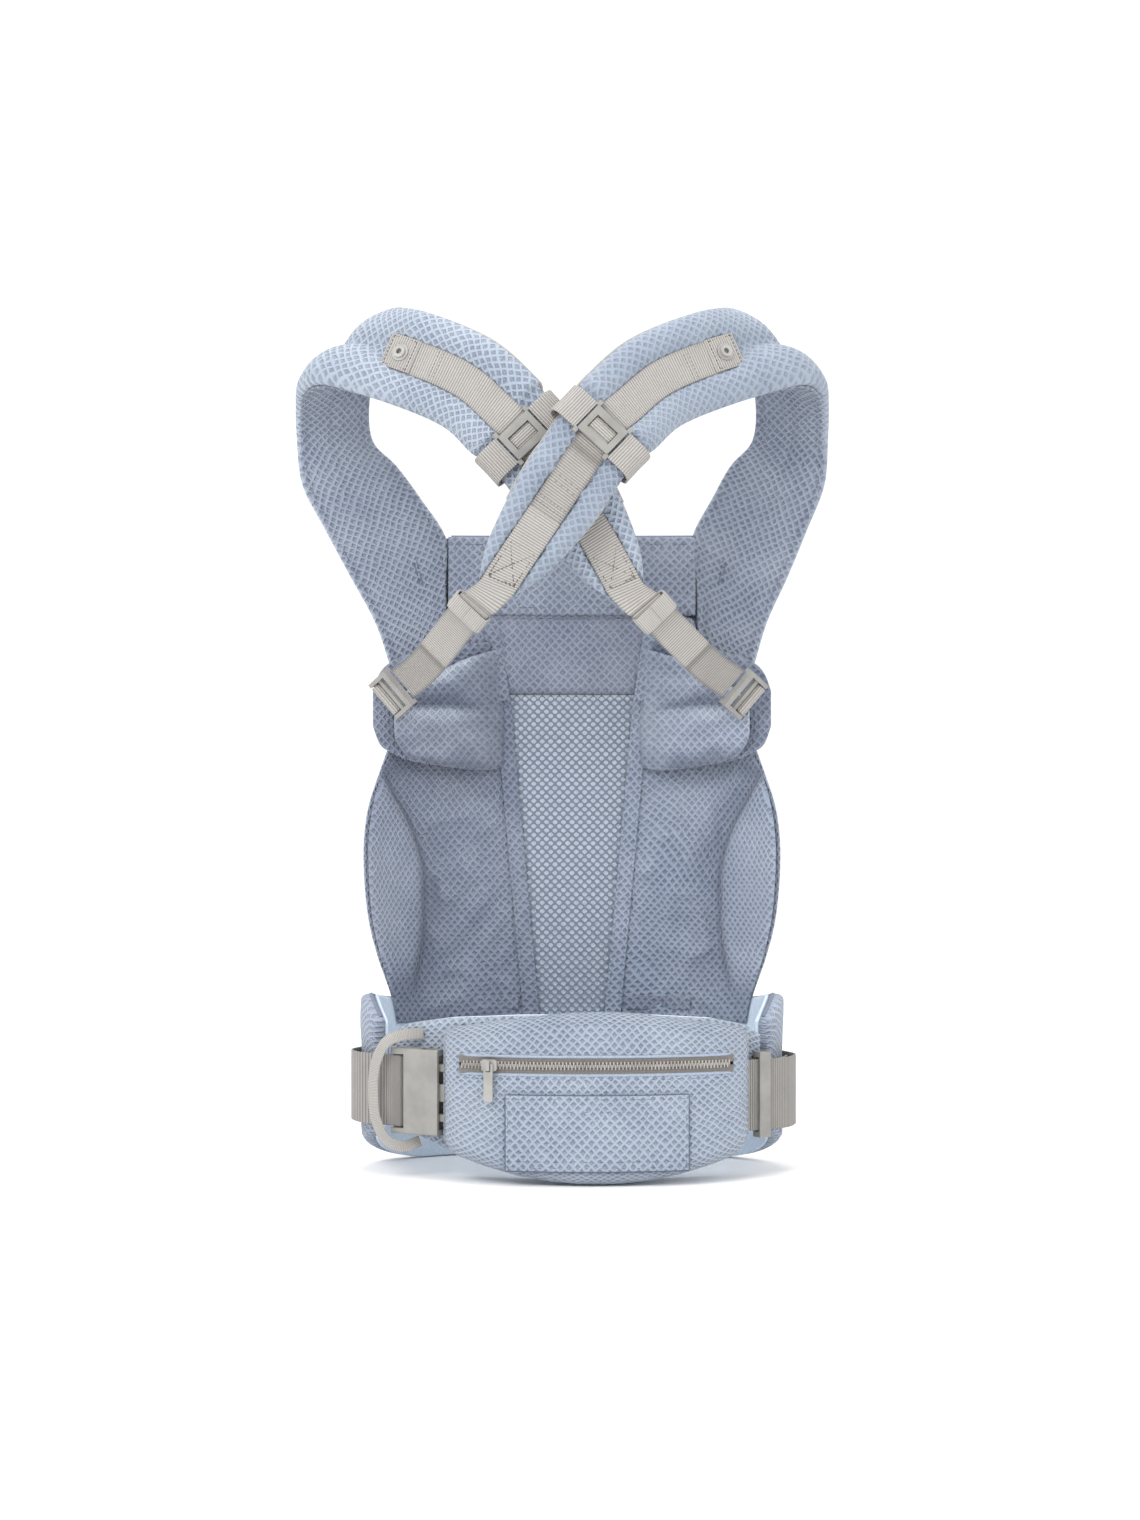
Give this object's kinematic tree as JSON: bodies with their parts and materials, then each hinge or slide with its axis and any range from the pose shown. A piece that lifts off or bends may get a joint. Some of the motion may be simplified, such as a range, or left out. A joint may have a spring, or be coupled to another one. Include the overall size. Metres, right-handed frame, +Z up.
{
  "type": "soft baby carrier",
  "caption": "Soft baby carrier with crossed padded shoulder straps, airy back panel, padded waist belt, side-release buckle and zipped lumbar pouch.",
  "frame": {"origin": "on the ground, at the middle of the carrier's bounding box", "axes": "+Z up, +X to the right and +Y away for somebody who faces the wearer's back"},
  "size_m": [0.3948, 0.1848, 0.6192],
  "materials": {
    "sky_fabric": "matt dimpled knit",
    "inner_fabric": "matt knit in shade",
    "airy_mesh": "open spacer mesh",
    "foam": "soft foam",
    "webbing": "woven webbing",
    "elastic": "knitted elastic",
    "grey_plastic": "matt moulded",
    "zip_tape": "woven tape",
    "zip_metal": "satin paint"
  },
  "bodies": {
    "carrier": {"airy_mesh_panel": "airy_mesh", "belt_cover": "sky_fabric", "belt_foam": "foam", "belt_lining": "inner_fabric", "bottom_tapes": "inner_fabric", "buckle_housing": "grey_plastic", "buckle_male": "grey_plastic", "lock_strap_left": "webbing", "lock_strap_right": "webbing", "lumbar_cover": "sky_fabric", "lumbar_foam": "foam", "lumbar_lining": "inner_fabric", "outer_panel": "sky_fabric", "patch_pocket": "sky_fabric", "pouch": "sky_fabric", "rail_webbing_left": "webbing", "rail_webbing_right": "webbing", "safety_loop": "elastic", "side_panel_left": "inner_fabric", "side_panel_right": "inner_fabric", "side_webbing_left": "webbing", "side_webbing_right": "webbing", "snap_sockets": "grey_plastic", "snap_tab_left": "webbing", "snap_tab_right": "webbing", "strap_cover_left": "sky_fabric", "strap_cover_right": "sky_fabric", "strap_foam_left": "foam", "strap_foam_right": "foam", "strap_lining_left": "inner_fabric", "strap_lining_right": "inner_fabric", "upper_back_cover": "inner_fabric", "upper_back_foam": "foam", "waist_webbing_left": "webbing", "waist_webbing_right": "webbing", "waist_webbing_tail": "webbing", "window_binding_left": "inner_fabric", "window_binding_right": "inner_fabric", "wing_far_left": "inner_fabric", "wing_far_right": "inner_fabric", "wing_near_left": "sky_fabric", "wing_near_right": "sky_fabric", "zip_coil": "zip_tape", "zip_tapes": "zip_tape"},
    "head_support": {"head_support_cover": "inner_fabric", "head_support_foam": "foam", "head_support_back": "sky_fabric"},
    "slider_left": {"rail_slider_left": "grey_plastic", "cross_band_left": "webbing"},
    "slider_right": {"rail_slider_right": "grey_plastic", "cross_band_right": "webbing"},
    "keeper_left": {"side_keeper_left": "webbing"},
    "keeper_right": {"side_keeper_right": "webbing"},
    "lock_left": {"ladder_lock_left": "grey_plastic"},
    "lock_right": {"ladder_lock_right": "grey_plastic"},
    "zip_slider": {"zip_slider": "zip_metal"},
    "zip_tab": {"zip_pull_tab": "zip_metal"},
    "prong_upper": {"buckle_prong_upper": "grey_plastic"},
    "prong_lower": {"buckle_prong_lower": "grey_plastic"},
    "waist_slide": {"waist_slide": "grey_plastic"}
  },
  "joints": [
    {"name": "head_support_fold", "type": "hinge", "parent": "carrier", "child": "head_support", "pos_m": [0.00705, 0.07495, 0.399], "axis": [-1, 0, 0], "range_deg": [0, 150]},
    {"name": "rail_slider_left_slide", "type": "slide", "parent": "carrier", "child": "slider_left", "axis": [0.6813, -0.0792, -0.7277], "range_m": [-0.008, 0]},
    {"name": "side_keeper_left_slide", "type": "slide", "parent": "carrier", "child": "keeper_left", "axis": [0.571, 0.5648, -0.5958], "range_m": [0, 0.008]},
    {"name": "ladder_lock_left_tilt", "type": "hinge", "parent": "carrier", "child": "lock_left", "pos_m": [0.1355, 0.01369, 0.33638], "axis": [0.6425, 0, 0.7663], "range_deg": [0, 25]},
    {"name": "rail_slider_right_slide", "type": "slide", "parent": "carrier", "child": "slider_right", "axis": [-0.6713, -0.1874, -0.7171], "range_m": [0, 0.008]},
    {"name": "side_keeper_right_slide", "type": "slide", "parent": "carrier", "child": "keeper_right", "axis": [-0.4563, 0.7517, -0.4762], "range_m": [0, 0.008]},
    {"name": "ladder_lock_right_tilt", "type": "hinge", "parent": "carrier", "child": "lock_right", "pos_m": [-0.1264, 0.01469, 0.337], "axis": [0.6425, 0, -0.7663], "range_deg": [0, 25]},
    {"name": "zip_travel", "type": "hinge", "parent": "carrier", "child": "zip_slider", "pos_m": [0.01705, 0.17745, 0.0824], "axis": [0, 0, 1], "range_deg": [-3.5, 35]},
    {"name": "zip_tab_swing", "type": "hinge", "parent": "zip_slider", "child": "zip_tab", "pos_m": [-0.05066, -0.08625, 0.0831], "axis": [0.9686, -0.2487, 0], "range_deg": [-95, 0]},
    {"name": "prong_upper_press", "type": "hinge", "parent": "carrier", "child": "prong_upper", "pos_m": [-0.07883, -0.05528, 0.0775], "axis": [-0.4695, -0.8829, 0], "range_deg": [0, 12], "stiffness_Nm_per_rad": 0.2},
    {"name": "prong_lower_press", "type": "hinge", "parent": "carrier", "child": "prong_lower", "pos_m": [-0.07883, -0.05528, 0.0425], "axis": [0.4695, 0.8829, 0], "range_deg": [0, 12], "stiffness_Nm_per_rad": 0.2},
    {"name": "waist_slide_slide", "type": "slide", "parent": "carrier", "child": "waist_slide", "axis": [0.866, 0.5, 0], "range_m": [0, 0.003]}
  ],
  "couplings": [
    {"joint": "prong_lower_press", "follows": "prong_upper_press", "ratio": 1}
  ]
}
